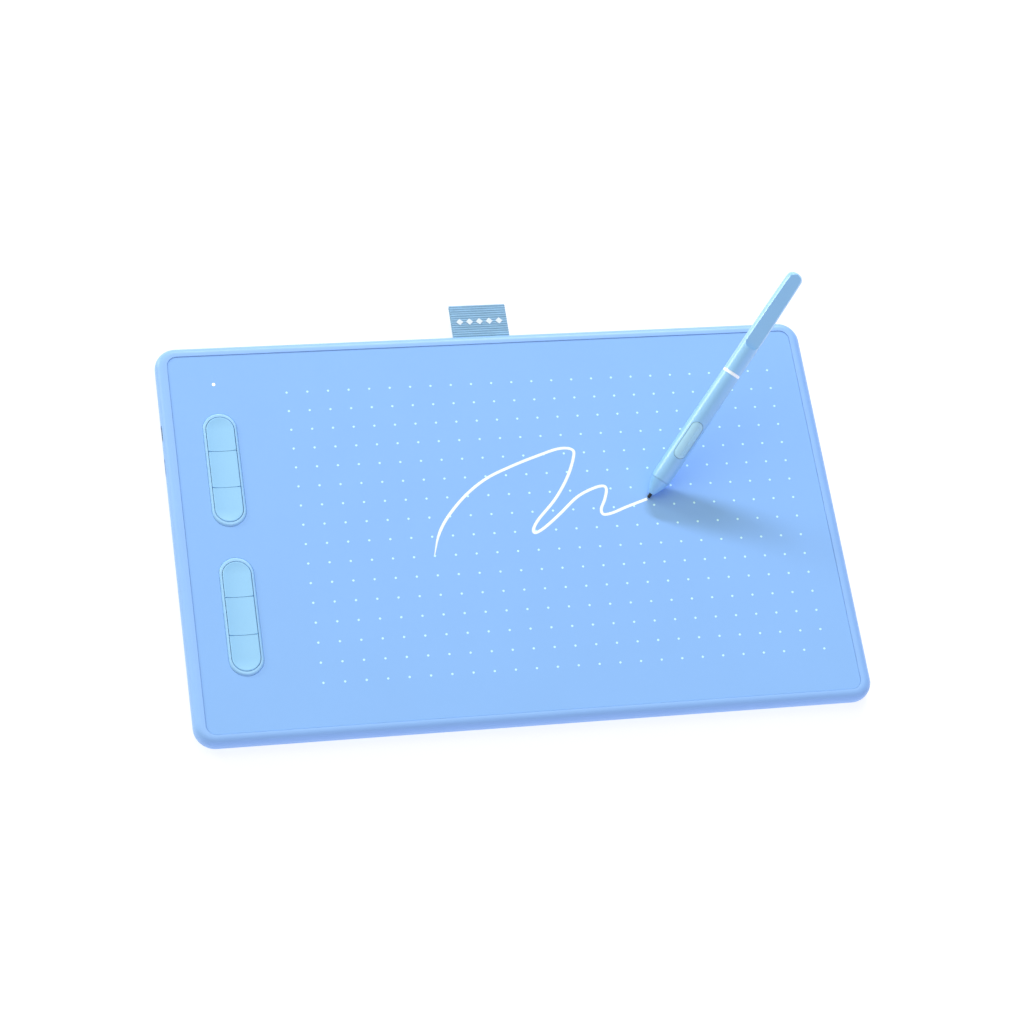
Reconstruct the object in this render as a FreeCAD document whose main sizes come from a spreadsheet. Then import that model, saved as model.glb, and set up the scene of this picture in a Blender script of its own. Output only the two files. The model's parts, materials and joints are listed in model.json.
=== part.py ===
import FreeCAD, Part
import math
import os
from types import SimpleNamespace

import Sketcher

# A pen drawing tablet and its pen, in millimetres.
# The origin is on the desk, under the middle of the case. +X is the case's right, +Y its back, +Z up.
# The pen leans over the drawing sheet with its nib just clear of it.

SIZES = {
    # Case: a clamshell of two covers with a fully rounded rim.
    "case_length": 340.0,
    "case_width": 215.6,
    "case_corner": 10.8,
    "case_wall": 1.8,
    "floor_level": 0.8,
    "floor_thickness": 1.2,
    "parting_level": 5.0,
    "parting_reveal": 0.1,
    "rim_level": 9.6,
    "rim_round": 4.2,
    "underside_round": 3.8,
    "deck_thickness": 1.5,
    # Drawing sheet, recessed inside the rim.
    "sheet_length": 327.8,
    "sheet_width": 204.3,
    "sheet_corner": 5.1,
    "sheet_y": -0.4,
    "sheet_thickness": 0.5,
    "sheet_level": 9.25,
    "sheet_gap": 0.15,
    "recess_bevel": 0.2,
    # Shortcut keys: two groups of three.
    "key_column": -141.25,
    "key_group_upper": 37.4,
    "key_group_lower": -42.3,
    "key_pitch": 20.15,
    "key_width": 14.0,
    "key_gap": 0.25,
    "key_group_length": 58.0,
    "key_level": 10.1,
    "key_dish_radius": 40.0,
    "key_dish_width": 12.6,
    "key_edge": 0.3,
    "key_flange_level": 6.4,
    "key_flange_thickness": 0.7,
    "key_flange_lip": 0.7,
    "bezel_width": 17.2,
    "bezel_rise": 0.75,
    "bezel_length": 62.8,
    "bezel_round": 1.2,
    "bezel_clearance": 0.1,
    "plunger_diameter": 1.8,
    "plunger_length": 2.25,
    "plunger_clearance": 0.1,
    "switch_side": 3.6,
    "switch_height": 1.2,
    # Main circuit board under the keys.
    "board_length": 168.0,
    "board_breadth": 48.0,
    "board_thickness": 1.0,
    "board_level": 2.5,
    "board_x": -142.5,
    "board_y": 4.0,
    "led_x": -141.8,
    "led_y": 85.4,
    "led_pipe_diameter": 1.7,
    # USB-C inlet and power slide switch on the left side.
    "port_y": 60.5,
    "port_width": 8.94,
    "port_height": 3.16,
    "port_depth": 7.3,
    "port_wall": 0.3,
    "port_clearance": 0.15,
    "port_inset": 0.4,
    "tongue_length": 5.5,
    "tongue_thickness": 0.7,
    "power_y": 42.0,
    "power_slot_length": 9.6,
    "power_slot_height": 2.6,
    "power_housing_depth": 4.0,
    "knob_length": 3.2,
    "knob_offset": 1.6,
    # Sensor stack under the deck.
    "sensor_length": 270.0,
    "sensor_width": 175.0,
    "sensor_thickness": 1.0,
    "sensor_x": 21.2,
    "shield_length": 260.0,
    "shield_x": 26.2,
    "shield_thickness": 0.3,
    "cable_start": -122.5,
    "cable_flat": 5.5,
    "cable_slope": 4.5,
    "cable_thickness": 0.2,
    "cable_width": 20.0,
    "cable_y": 5.0,
    # Battery and its packing.
    "battery_length": 90.0,
    "battery_width": 60.0,
    "battery_thickness": 3.0,
    "battery_x": -66.0,
    "foam_length": 150.0,
    "foam_width": 6.0,
    "foam_pitch": 32.0,
    "foam_x": 4.0,
    "lead_diameter": 1.0,
    "lead_y": -34.0,
    "lead_pitch": 2.4,
    # Screws and feet.
    "screw_x": 162.5,
    "screw_inner_x": 60.0,
    "screw_y": 98.0,
    "boss_diameter": 5.2,
    "screw_diameter": 1.9,
    "screw_hole_diameter": 2.2,
    "screw_head_diameter": 3.6,
    "screw_head_height": 1.2,
    "counterbore_diameter": 4.0,
    "counterbore_depth": 1.6,
    "pilot_diameter": 2.0,
    "foot_length": 44.0,
    "foot_width": 9.0,
    "foot_recess": 0.5,
    "foot_x": 128.0,
    "foot_y": 88.0,
    # Fabric pen loop at the back.
    "ribbon_width": 29.7,
    "ribbon_reach": 127.2,
    "ribbon_root": 100.0,
    "ribbon_thickness": 0.8,
    "ribbon_gap": 1.2,
    "ribbon_level": 5.2,
    "ribbon_clearance": 0.3,
    "anchor_diameter": 1.1,
    "anchor_length": 35.0,
    "anchor_y": 102.5,
    # Pen: stations are distances along its axis from the nib's tip.
    "pen_tip_x": 71.75,
    "pen_tip_y": 8.65,
    "pen_tip_level": 9.9,
    "pen_heading": 48.3,
    "pen_elevation": 31.7,
    "pen_roll": 196.0,
    "nib_diameter": 1.7,
    "nib_length": 31.0,
    "nib_tip_round": 0.8,
    "cone_start": 2.7,
    "cone_end": 11.15,
    "cone_tip_diameter": 3.2,
    "cone_end_diameter": 10.1,
    "cone_bore": 2.2,
    "cone_bow": 60.0,
    "spigot_length": 3.5,
    "grip_start": 11.3,
    "grip_widest": 16.7,
    "grip_widest_diameter": 10.5,
    "grip_end": 75.15,
    "grip_end_diameter": 9.6,
    "grip_bore": 7.8,
    "grip_front_bow": 60.0,
    "grip_bow": 4200.0,
    "rocker_start": 25.3,
    "rocker_end": 46.1,
    "rocker_width": 6.2,
    "rocker_corner": 2.9,
    "rocker_gap": 0.2,
    "rocker_rise": 5.3,
    "rocker_slope": 0.2,
    "rocker_base": 3.6,
    "rocker_ridge_start": 27.5,
    "rocker_ridge_end": 44.5,
    "rocker_ridge_groove": 0.56,
    "ring_end": 76.65,
    "ring_diameter": 9.4,
    "ring_bore": 6.0,
    "ring_spigot": 5.0,
    "rear_start": 76.75,
    "rear_bow": 2500.0,
    "rear_end": 136.0,
    "rear_tail_diameter": 8.6,
    "rear_bore": 4.2,
    "rear_bore_end": 116.0,
    "tail_round": 3.6,
    "flat_start": 91.7,
    "flat_distance": 3.0,
    "flat_width": 7.4,
    "flat_corner": 2.4,
    "ferrite_start": 14.0,
    "ferrite_end": 23.5,
    "ferrite_diameter": 5.0,
    "ferrite_bore": 2.6,
    "coil_diameter": 6.8,
    "coil_inset": 0.8,
    "holder_start": 28.5,
    "holder_end": 50.0,
    "holder_diameter": 2.8,
    "force_start": 50.5,
    "force_end": 58.0,
    "force_diameter": 3.4,
    "chassis_start": 24.5,
    "chassis_end": 69.5,
    "chassis_bore": 6.1,
    "pen_board_start": 25.5,
    "pen_board_end": 68.5,
    "pen_board_width": 5.0,
    "pen_board_thickness": 0.6,
    "pen_board_level": 1.9,
    "pen_switch_height": 0.6,
    "pen_switch_side": 2.6,
    "pen_switch_inset": 4.0,
    "fulcrum_diameter": 0.9,
}

UP = FreeCAD.Vector(0, 0, 1)
FOAM_STRIPS = 5
KEY_ROWS = (1, 0, -1)
KEY_GROUPS = (("upper", "key_group_upper"), ("lower", "key_group_lower"))

document = FreeCAD.newDocument("pen_tablet")
sheet = document.addObject("Spreadsheet::Sheet", "dims")
for row, (alias, value) in enumerate(SIZES.items(), start=1):
    sheet.set("A%d" % row, alias)
    sheet.set("B%d" % row, str(value))
    sheet.setAlias("B%d" % row, alias)
document.recompute()

parts = []


class Size:
    """A length or angle: the expression that binds it to the sheet, and its number."""

    def __init__(self, text, number):
        self.text = text
        self.number = number

    def __add__(self, other):
        other = as_size(other)
        return Size("(%s + %s)" % (self.text, other.text), self.number + other.number)

    def __sub__(self, other):
        other = as_size(other)
        return Size("(%s - %s)" % (self.text, other.text), self.number - other.number)

    def __mul__(self, factor):
        return Size("(%s * %s)" % (self.text, factor), self.number * factor)

    def __truediv__(self, divisor):
        return Size("(%s / %s)" % (self.text, divisor), self.number / divisor)

    def __neg__(self):
        return Size("(0 - %s)" % self.text, -self.number)

    __rmul__ = __mul__
    __radd__ = __add__


def as_size(value):
    """Turn a plain number into a Size."""
    if isinstance(value, Size):
        return value
    return Size(repr(float(value)), float(value))


D = SimpleNamespace(**{name: Size("dims." + name, number) for name, number in SIZES.items()})

# Levels worked out from the driving sizes.
floor_top = D.floor_level + D.floor_thickness
board_top = D.board_level + D.board_thickness
deck_top = D.sheet_level - D.sheet_thickness
deck_under = deck_top - D.deck_thickness
sensor_level = deck_under - D.sensor_thickness
shield_level = sensor_level - D.shield_thickness
key_cap_level = D.key_flange_level + D.key_flange_thickness
end_key_length = (D.key_group_length - D.key_pitch - D.key_gap) / 2
port_level = board_top + 0.1 + D.port_height / 2
bottom_cover_top = D.parting_level - D.parting_reveal / 2
top_cover_bottom = D.parting_level + D.parting_reveal / 2


# ---------------------------------------------------------------- document helpers


def bind(target, path, size):
    """Bind one property of an object to an expression."""
    target.setExpression(path, as_size(size).text)


def bind_position(target, x=0, y=0, z=0, path=".Placement.Base."):
    """Bind an object's position."""
    for axis, size in zip("xyz", (x, y, z)):
        bind(target, path + axis, size)


def keep(item):
    """List an object as one sub-part of the tablet."""
    parts.append(item)
    return item


def new_body(label, x=0, y=0, z=0):
    """Start a body whose own origin is at the given place."""
    body = document.addObject("PartDesign::Body", label)
    body.Label = label
    bind_position(body, x, y, z)
    return body


def new_sketch(body, plane="XY_Plane", x=0, y=0, z=0):
    """Attach a sketch to one of the body's origin planes, shifted in that plane's own axes."""
    sketch = body.newObject("Sketcher::SketchObject", body.Name + "_sketch")
    role = [item for item in body.Origin.OriginFeatures if item.Role == plane][0]
    sketch.AttachmentSupport = (role, "")
    sketch.MapMode = "FlatFace"
    bind_position(sketch, x, y, z, path=".AttachmentOffset.Base.")
    return sketch


def extrude(body, sketch, length, reverse=False, symmetric=False):
    """Pad a sketch."""
    pad = body.newObject("PartDesign::Pad", body.Name + "_pad")
    pad.Profile = sketch
    bind(pad, "Length", length)
    pad.Reversed = reverse
    pad.Midplane = symmetric
    document.recompute()
    return pad


def cut(body, sketch, length, reverse=False, symmetric=False):
    """Pocket a sketch and make sure that it removes material."""
    before = body.Shape.Volume
    pocket = body.newObject("PartDesign::Pocket", body.Name + "_pocket")
    pocket.Profile = sketch
    pocket.Type = "Length"
    bind(pocket, "Length", length)
    pocket.Reversed = reverse
    pocket.Midplane = symmetric
    document.recompute()
    if body.Shape.Volume >= before:
        raise RuntimeError("%s: the pocket removes nothing" % body.Label)
    return pocket


def revolve(body, sketch):
    """Turn a sketch in the XZ plane about the body's Z axis."""
    turn = body.newObject("PartDesign::Revolution", body.Name + "_turn")
    turn.Profile = sketch
    turn.ReferenceAxis = (sketch, ["V_Axis"])
    turn.Angle = 360
    document.recompute()
    return turn


def dress(body, kind, property_name, size, wanted):
    """Fillet or chamfer the edges of the body's tip that satisfy a test."""
    base = body.Tip
    names = []
    for number, edge in enumerate(base.Shape.Edges, start=1):
        if wanted(edge):
            names.append("Edge%d" % number)
    feature = body.newObject("PartDesign::" + kind, body.Name + "_" + kind.lower())
    feature.Base = (base, names)
    bind(feature, property_name, size)
    document.recompute()
    if "Invalid" in feature.State:
        raise RuntimeError("%s: the %s fails" % (body.Label, kind))


def at_level(level, inside=None):
    """Make a test for edges that lie flat at one local height, within a rectangle if one is given."""

    def test(edge):
        box = edge.BoundBox
        level_ok = abs(box.ZMin - level.number) < 0.01 and abs(box.ZMax - level.number) < 0.01
        if inside is None:
            return level_ok
        width, depth = (size.number / 2 for size in inside)
        return level_ok and max(-box.XMin, box.XMax) < width and max(-box.YMin, box.YMax) < depth

    return test


# ---------------------------------------------------------------- sketch helpers


def hold(sketch, kind, first, second, size):
    """Add one driven distance between two points and bind it."""
    index = sketch.addConstraint(Sketcher.Constraint(kind, *first, *second, size.number))
    bind(sketch, "Constraints[%d]" % index, size)


def pin(sketch, point, x, y):
    """Hold a point, given as (geometry, position), at (x, y) from the sketch's origin."""
    origin = (-1, 1)
    for kind, size, axis in (("DistanceX", as_size(x), -2), ("DistanceY", as_size(y), -1)):
        if size.number > 0:
            hold(sketch, kind, origin, point, size)
        elif size.number < 0:
            hold(sketch, kind, point, origin, -size)
        else:
            sketch.addConstraint(Sketcher.Constraint("PointOnObject", *point, axis))


def draw_round_rectangle(sketch, width, height, radius):
    """Draw a rectangle with round corners about the sketch's origin."""
    half_x = width.number / 2 - radius.number
    half_y = height.number / 2 - radius.number
    arcs = []
    for turn, (side_x, side_y) in enumerate(((1, 1), (-1, 1), (-1, -1), (1, -1))):
        circle = Part.Circle(FreeCAD.Vector(side_x * half_x, side_y * half_y, 0), UP, radius.number)
        start = turn * math.pi / 2
        arcs.append(sketch.addGeometry(Part.ArcOfCircle(circle, start, start + math.pi / 2)))
    lines = []
    for turn, arc in enumerate(arcs):
        following = arcs[(turn + 1) % 4]
        ends = (sketch.getPoint(arc, 2), sketch.getPoint(following, 1))
        line = sketch.addGeometry(Part.LineSegment(*ends))
        sketch.addConstraint(Sketcher.Constraint("Tangent", arc, 2, line, 1))
        sketch.addConstraint(Sketcher.Constraint("Tangent", line, 2, following, 1))
        sketch.addConstraint(Sketcher.Constraint("Vertical" if turn % 2 else "Horizontal", line))
        lines.append(line)
    for arc in arcs[1:]:
        sketch.addConstraint(Sketcher.Constraint("Equal", arcs[0], arc))
    index = sketch.addConstraint(Sketcher.Constraint("Radius", arcs[0], radius.number))
    bind(sketch, "Constraints[%d]" % index, radius)
    hold(sketch, "DistanceX", (lines[1], 1), (lines[3], 1), width)
    hold(sketch, "DistanceY", (lines[2], 1), (lines[0], 1), height)
    sketch.addConstraint(Sketcher.Constraint("Symmetric", arcs[0], 3, arcs[2], 3, -1, 1))


def draw_stadium(sketch, width, length, centre_y=0):
    """Draw a slot with round ends, standing along the sketch's Y axis."""
    centre_y = as_size(centre_y)
    radius = width / 2
    reach = length / 2 - radius
    arcs = []
    for side, start in ((1, 0.0), (-1, math.pi)):
        centre = FreeCAD.Vector(0, centre_y.number + side * reach.number, 0)
        circle = Part.Circle(centre, UP, radius.number)
        arcs.append(sketch.addGeometry(Part.ArcOfCircle(circle, start, start + math.pi)))
    for first, second in (arcs, arcs[::-1]):
        ends = (sketch.getPoint(first, 2), sketch.getPoint(second, 1))
        line = sketch.addGeometry(Part.LineSegment(*ends))
        sketch.addConstraint(Sketcher.Constraint("Tangent", first, 2, line, 1))
        sketch.addConstraint(Sketcher.Constraint("Tangent", line, 2, second, 1))
    sketch.addConstraint(Sketcher.Constraint("Equal", arcs[0], arcs[1]))
    index = sketch.addConstraint(Sketcher.Constraint("Radius", arcs[0], radius.number))
    bind(sketch, "Constraints[%d]" % index, radius)
    pin(sketch, (arcs[0], 3), 0, centre_y + reach)
    pin(sketch, (arcs[1], 3), 0, centre_y - reach)


def draw_circles(sketch, diameter, centres):
    """Draw equal circles at the given (x, y) places."""
    radius = as_size(diameter) / 2
    for x, y in centres:
        place = FreeCAD.Vector(as_size(x).number, as_size(y).number, 0)
        circle = sketch.addGeometry(Part.Circle(place, UP, radius.number))
        index = sketch.addConstraint(Sketcher.Constraint("Radius", circle, radius.number))
        bind(sketch, "Constraints[%d]" % index, radius)
        pin(sketch, (circle, 3), x, y)


def bowed_side(start, end, radius):
    """Make an arc between two points, bulging to the right of the way from start to end."""
    along = end - start
    half = along.Length / 2
    right = along.cross(UP).normalize()
    centre = start + along / 2 - right * math.sqrt(radius**2 - half**2)
    circle = Part.Circle(centre, UP, radius)
    first = math.atan2(start.y - centre.y, start.x - centre.x)
    last = math.atan2(end.y - centre.y, end.x - centre.x)
    return Part.ArcOfCircle(circle, first, last)


def draw_polygon(sketch, corners, bows=None):
    """Draw a closed outline through (x, y) corners; bows gives the radius of each side that is an arc."""
    bows = bows or {}
    places = [FreeCAD.Vector(as_size(x).number, as_size(y).number, 0) for x, y in corners]
    sides = []
    for number, place in enumerate(places):
        following = places[(number + 1) % len(places)]
        if number in bows:
            side = sketch.addGeometry(bowed_side(place, following, bows[number].number))
            index = sketch.addConstraint(Sketcher.Constraint("Radius", side, bows[number].number))
            bind(sketch, "Constraints[%d]" % index, bows[number])
        else:
            side = sketch.addGeometry(Part.LineSegment(place, following))
        sides.append(side)
    for number, side in enumerate(sides):
        following = sides[(number + 1) % len(sides)]
        sketch.addConstraint(Sketcher.Constraint("Coincident", side, 2, following, 1))
    for side, (x, y) in zip(sides, corners):
        pin(sketch, (side, 1), x, y)


def draw_end_key(sketch, width, length):
    """Draw a key that is square at y = 0 and round at y = length."""
    radius = width / 2
    straight = length - radius
    corner = FreeCAD.Vector(radius.number, 0, 0)
    shoulder = FreeCAD.Vector(radius.number, straight.number, 0)
    far_corner = FreeCAD.Vector(-radius.number, 0, 0)
    far_shoulder = FreeCAD.Vector(-radius.number, straight.number, 0)
    circle = Part.Circle(FreeCAD.Vector(0, straight.number, 0), UP, radius.number)
    right = sketch.addGeometry(Part.LineSegment(corner, shoulder))
    arc = sketch.addGeometry(Part.ArcOfCircle(circle, 0, math.pi))
    left = sketch.addGeometry(Part.LineSegment(far_shoulder, far_corner))
    base = sketch.addGeometry(Part.LineSegment(far_corner, corner))
    sketch.addConstraint(Sketcher.Constraint("Tangent", right, 2, arc, 1))
    sketch.addConstraint(Sketcher.Constraint("Tangent", arc, 2, left, 1))
    sketch.addConstraint(Sketcher.Constraint("Coincident", left, 2, base, 1))
    sketch.addConstraint(Sketcher.Constraint("Coincident", base, 2, right, 1))
    pin(sketch, (right, 1), radius, 0)
    pin(sketch, (base, 1), -radius, 0)
    pin(sketch, (arc, 3), 0, straight)


# ---------------------------------------------------------------- primitive helpers


def block(label, size, position, parent=None):
    """Make a Part box from its sizes, standing on the middle of its base."""
    box = document.addObject("Part::Box", label)
    box.Label = label
    for name, length in zip(("Length", "Width", "Height"), size):
        bind(box, name, length)
    x, y, z = position
    bind_position(box, as_size(x) - as_size(size[0]) / 2, as_size(y) - as_size(size[1]) / 2, z)
    return box


def rod(label, diameter, length, x=0, y=0, z=0, rotation=None):
    """Make a Part cylinder; without a rotation it stands up from its place."""
    cylinder = document.addObject("Part::Cylinder", label)
    cylinder.Label = label
    bind(cylinder, "Radius", as_size(diameter) / 2)
    bind(cylinder, "Height", length)
    if rotation is not None:
        cylinder.Placement = FreeCAD.Placement(FreeCAD.Vector(), rotation)
    bind_position(cylinder, x, y, z)
    return cylinder


def group(label, members):
    """Collect separate solids into one sub-part."""
    compound = document.addObject("Part::Compound", label)
    compound.Label = label
    compound.Links = members
    document.recompute()
    return compound


def difference(label, base, tool):
    """Cut one object from another."""
    result = document.addObject("Part::Cut", label)
    result.Label = label
    result.Base = base
    result.Tool = tool
    document.recompute()
    return result


# ---------------------------------------------------------------- case

SCREW_PLACES = [
    (x, y)
    for x in (-D.screw_x, -D.screw_inner_x, D.screw_inner_x, D.screw_x)
    for y in (-D.screw_y, D.screw_y)
]
FOOT_PLACES = [(x, y) for x in (-D.foot_x, D.foot_x) for y in (-D.foot_y, D.foot_y)]


def cut_side_openings(body):
    """Open the left wall for the inlet and the power slide, and the back wall for the ribbon."""
    into_wall = D.case_wall * 3
    wall_start = -D.case_length / 2 - D.case_wall
    port_y_size = D.port_width + D.port_clearance * 2
    port_z_size = D.port_height + D.port_clearance * 2
    for centre, width, height in (
        (D.port_y, port_y_size, port_z_size),
        (D.power_y, D.power_slot_length, D.power_slot_height),
    ):
        opening = new_sketch(body, "YZ_Plane", x=centre, y=port_level, z=wall_start)
        draw_round_rectangle(opening, width, height, D.power_slot_height / 2 - 0.1)
        cut(body, opening, into_wall, reverse=True)
    slot = new_sketch(body, "XZ_Plane", y=D.ribbon_level, z=-D.case_width / 2 - D.case_wall)
    slot_width = D.ribbon_width + D.ribbon_clearance * 2
    slot_height = D.ribbon_thickness * 2 + D.ribbon_gap + D.ribbon_clearance * 2
    draw_round_rectangle(slot, slot_width, slot_height, D.ribbon_clearance)
    cut(body, slot, into_wall, reverse=True)


def make_bottom_cover():
    """The lower half: a shallow tub with screw posts, board posts and foot recesses."""
    body = new_body("bottom_cover")
    outline = new_sketch(body, z=D.floor_level)
    draw_round_rectangle(outline, D.case_length, D.case_width, D.case_corner)
    extrude(body, outline, bottom_cover_top - D.floor_level)
    dress(body, "Fillet", "Radius", D.underside_round, at_level(D.floor_level))
    inside = new_sketch(body, z=bottom_cover_top)
    draw_round_rectangle(
        inside,
        D.case_length - D.case_wall * 2,
        D.case_width - D.case_wall * 2,
        D.case_corner - D.case_wall,
    )
    cut(body, inside, bottom_cover_top - floor_top)
    posts = new_sketch(body, z=D.floor_level)
    draw_circles(posts, D.boss_diameter, SCREW_PLACES)
    extrude(body, posts, bottom_cover_top - D.floor_level)
    board_posts = new_sketch(body, z=floor_top)
    board_corners = [
        (D.board_x + D.board_breadth * side_x, D.board_y + D.board_length * side_y)
        for side_x in (-0.4, 0.4)
        for side_y in (-0.45, 0.0, 0.45)
    ]
    draw_circles(board_posts, D.boss_diameter, board_corners)
    extrude(body, board_posts, D.board_level - floor_top)
    holes = new_sketch(body, z=D.floor_level)
    draw_circles(holes, D.screw_hole_diameter, SCREW_PLACES)
    cut(body, holes, D.parting_level, reverse=True)
    counterbores = new_sketch(body, z=D.floor_level)
    draw_circles(counterbores, D.counterbore_diameter, SCREW_PLACES)
    cut(body, counterbores, D.counterbore_depth, reverse=True)
    for x, y in FOOT_PLACES:
        recess = new_sketch(body, x=x, y=y, z=D.floor_level)
        draw_round_rectangle(recess, D.foot_length, D.foot_width, D.foot_width / 2 - 0.1)
        cut(body, recess, D.foot_recess, reverse=True)
    cut_side_openings(body)
    return keep(body)


def make_top_cover():
    """The upper half: the rounded rim, the deck under the sheet, and screw posts."""
    body = new_body("top_cover")
    outline = new_sketch(body, z=top_cover_bottom)
    draw_round_rectangle(outline, D.case_length, D.case_width, D.case_corner)
    extrude(body, outline, D.rim_level - top_cover_bottom)
    dress(body, "Fillet", "Radius", D.rim_round, at_level(D.rim_level))
    recess_limit = (D.case_length - D.rim_round * 2 - 0.2, D.case_width - D.rim_round * 2 - 0.2)
    recess = new_sketch(body, y=D.sheet_y, z=D.rim_level)
    draw_round_rectangle(
        recess,
        D.sheet_length + D.sheet_gap * 2,
        D.sheet_width + D.sheet_gap * 2,
        D.sheet_corner + D.sheet_gap,
    )
    cut(body, recess, D.rim_level - deck_top)
    dress(body, "Chamfer", "Size", D.recess_bevel, at_level(D.rim_level, recess_limit))
    inside = new_sketch(body, z=top_cover_bottom)
    draw_round_rectangle(
        inside,
        D.case_length - D.case_wall * 2,
        D.case_width - D.case_wall * 2,
        D.case_corner - D.case_wall,
    )
    cut(body, inside, deck_under - top_cover_bottom, reverse=True)
    posts = new_sketch(body, z=top_cover_bottom)
    draw_circles(posts, D.boss_diameter, SCREW_PLACES)
    extrude(body, posts, deck_top - top_cover_bottom)
    pilots = new_sketch(body, z=top_cover_bottom)
    draw_circles(pilots, D.pilot_diameter, SCREW_PLACES)
    cut(body, pilots, deck_under - top_cover_bottom, reverse=True)
    for _, alias in KEY_GROUPS:
        well = new_sketch(body, x=D.key_column, y=getattr(D, alias), z=D.rim_level)
        draw_stadium(well, D.bezel_width + D.bezel_clearance, D.bezel_length + D.bezel_clearance)
        cut(body, well, D.rim_level - top_cover_bottom)
    pipe_hole = new_sketch(body, z=D.rim_level)
    draw_circles(pipe_hole, D.led_pipe_diameter + 0.1, [(D.led_x, D.led_y)])
    cut(body, pipe_hole, D.rim_level - top_cover_bottom)
    cut_side_openings(body)
    return keep(body)


def make_surface_sheet():
    """The thin textured sheet that is drawn on."""
    body = new_body("surface_sheet", z=deck_top)
    outline = new_sketch(body, y=D.sheet_y)
    draw_round_rectangle(outline, D.sheet_length, D.sheet_width, D.sheet_corner)
    extrude(body, outline, D.sheet_thickness)
    for _, alias in KEY_GROUPS:
        opening = new_sketch(body, x=D.key_column, y=getattr(D, alias), z=D.sheet_thickness)
        draw_stadium(opening, D.bezel_width + D.bezel_clearance, D.bezel_length + D.bezel_clearance)
        cut(body, opening, D.sheet_thickness)
    pipe_hole = new_sketch(body, z=D.sheet_thickness)
    draw_circles(pipe_hole, D.led_pipe_diameter + 0.1, [(D.led_x, D.led_y)])
    cut(body, pipe_hole, D.sheet_thickness)
    return keep(body)


def make_case_screws():
    """Eight screws, each a head in its counterbore and a shank up into the top cover's post."""
    members = []
    head_level = D.floor_level + D.counterbore_depth - D.screw_head_height
    for number, (x, y) in enumerate(SCREW_PLACES, start=1):
        head = rod("screw_head_%d" % number, D.screw_head_diameter, D.screw_head_height, x, y, head_level)
        shank_level = head_level + D.screw_head_height
        shank_length = deck_under - 0.3 - shank_level
        shank = rod("screw_shank_%d" % number, D.screw_diameter, shank_length, x, y, shank_level)
        screw = document.addObject("Part::Fuse", "screw_%d" % number)
        screw.Base = head
        screw.Tool = shank
        members.append(screw)
    return keep(group("case_screws", members))


def make_feet():
    """Four rubber pads, each let into the underside and standing on the desk."""
    for number, (x, y) in enumerate(FOOT_PLACES, start=1):
        body = new_body("rubber_foot_%d" % number, x=x, y=y)
        outline = new_sketch(body)
        draw_round_rectangle(outline, D.foot_length - 0.2, D.foot_width - 0.2, D.foot_width / 2 - 0.2)
        extrude(body, outline, D.floor_level + D.foot_recess)
        keep(body)


# ---------------------------------------------------------------- keys


def make_key_bezels():
    """A thin ring round each key group, let into the deck and a little proud of the sheet."""
    for name, alias in KEY_GROUPS:
        body = new_body("key_bezel_" + name, x=D.key_column, y=getattr(D, alias), z=deck_under)
        height = D.sheet_level + D.bezel_rise - deck_under
        outline = new_sketch(body)
        draw_stadium(outline, D.bezel_width, D.bezel_length)
        extrude(body, outline, height)
        dress(body, "Fillet", "Radius", D.bezel_round, at_level(height))
        inside = new_sketch(body, z=height)
        draw_stadium(inside, D.key_width + D.key_gap * 2, D.key_group_length + D.key_gap * 2)
        cut(body, inside, height)
        keep(body)


def dish_key(body, row, top):
    """Hollow the key's top: a trough along the group that ends in a round hollow at the group's end."""
    half_dish = D.key_dish_width.number / 2
    sagitta = D.key_dish_radius.number - math.sqrt(D.key_dish_radius.number**2 - half_dish**2)
    centre = top + D.key_dish_radius - sagitta
    trough = new_sketch(body, "XZ_Plane")
    draw_circles(trough, D.key_dish_radius * 2, [(0, centre)])
    if row == 0:
        cut(body, trough, D.key_pitch * 2, symmetric=True)
        return
    straight = end_key_length - D.key_width / 2
    cut(body, trough, straight)
    ball = body.newObject("PartDesign::SubtractiveSphere", body.Name + "_hollow")
    bind(ball, "Radius", D.key_dish_radius)
    bind_position(ball, 0, straight, centre, path=".AttachmentOffset.Base.")
    plane = [item for item in body.Origin.OriginFeatures if item.Role == "XY_Plane"][0]
    ball.AttachmentSupport = (plane, "")
    ball.MapMode = "FlatFace"
    document.recompute()


def shape_key(body, row):
    """Give one key its flange, its cap and its hollow top."""
    flange_width = D.key_width + D.key_flange_lip * 2
    cap_height = D.key_level - key_cap_level
    length = D.key_pitch - D.key_gap if row == 0 else end_key_length
    flange = new_sketch(body)
    cap = new_sketch(body, z=D.key_flange_thickness)
    if row == 0:
        draw_round_rectangle(flange, flange_width, length, D.key_gap)
        draw_round_rectangle(cap, D.key_width, length, D.key_gap)
    else:
        draw_end_key(flange, flange_width, length + D.key_flange_lip)
        draw_end_key(cap, D.key_width, length)
    extrude(body, flange, D.key_flange_thickness)
    extrude(body, cap, cap_height)
    top = D.key_flange_thickness + cap_height
    dress(body, "Fillet", "Radius", D.key_edge, at_level(top))
    dish_key(body, row, top)


def make_keys():
    """Six sprung key caps, each with the plunger that presses its switch."""
    number = 0
    for _, alias in KEY_GROUPS:
        for row in KEY_ROWS:
            number += 1
            centre = getattr(D, alias) + D.key_pitch * row
            flat_side = centre - (D.key_pitch - D.key_gap) / 2 * row
            body = new_body("key_%d" % number)
            if row < 0:
                body.Placement = FreeCAD.Placement(FreeCAD.Vector(), FreeCAD.Rotation(UP, 180))
            bind_position(body, D.key_column, flat_side, D.key_flange_level)
            shape_key(body, row)
            keep(body)
            plunger = rod(
                "key_plunger_%d" % number,
                D.plunger_diameter,
                D.plunger_length,
                D.key_column,
                centre,
                D.key_flange_level - D.plunger_length,
            )
            keep(plunger)


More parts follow.
